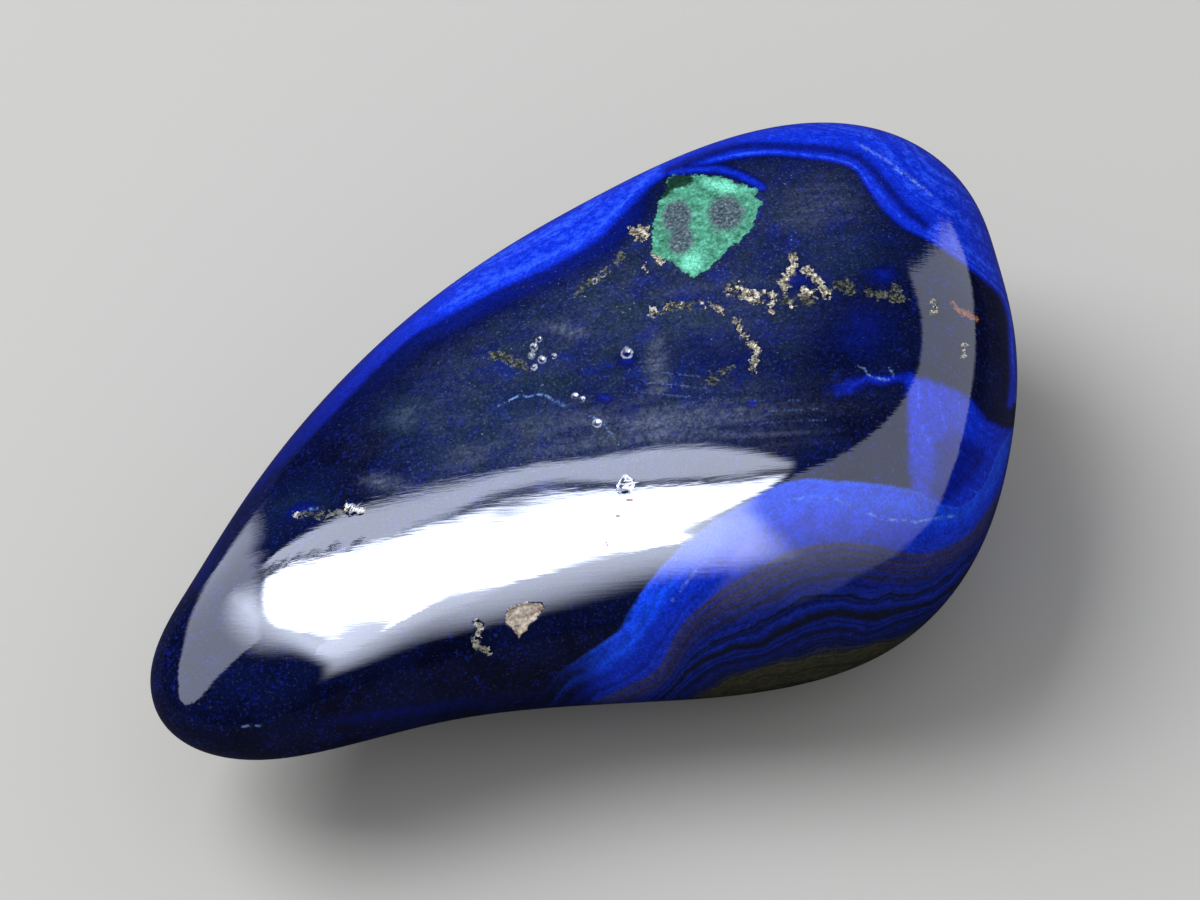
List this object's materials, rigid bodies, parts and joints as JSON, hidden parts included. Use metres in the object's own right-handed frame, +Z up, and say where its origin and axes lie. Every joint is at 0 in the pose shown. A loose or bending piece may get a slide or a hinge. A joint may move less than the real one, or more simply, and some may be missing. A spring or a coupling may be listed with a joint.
{
  "type": "polished azurite specimen",
  "caption": "Polished freeform azurite: a smooth, thick teardrop of dark blue banded stone with a green malachite patch, lying on a small ground flat.",
  "frame": {"origin": "the plane of the ground flat that the stone rests on, under the middle of its bounding box", "axes": "+X from the narrow tip to the broad head, +Z up out of the upper face, +Y towards the straighter far flank"},
  "size_m": [0.051, 0.0292, 0.0179],
  "materials": {
    "azurite": "mirror polish over dark blue azurite, with blue banding, a flush green malachite patch and pale matrix specks"
  },
  "bodies": {
    "root": {"azurite_stone": "azurite"}
  },
  "joints": []
}
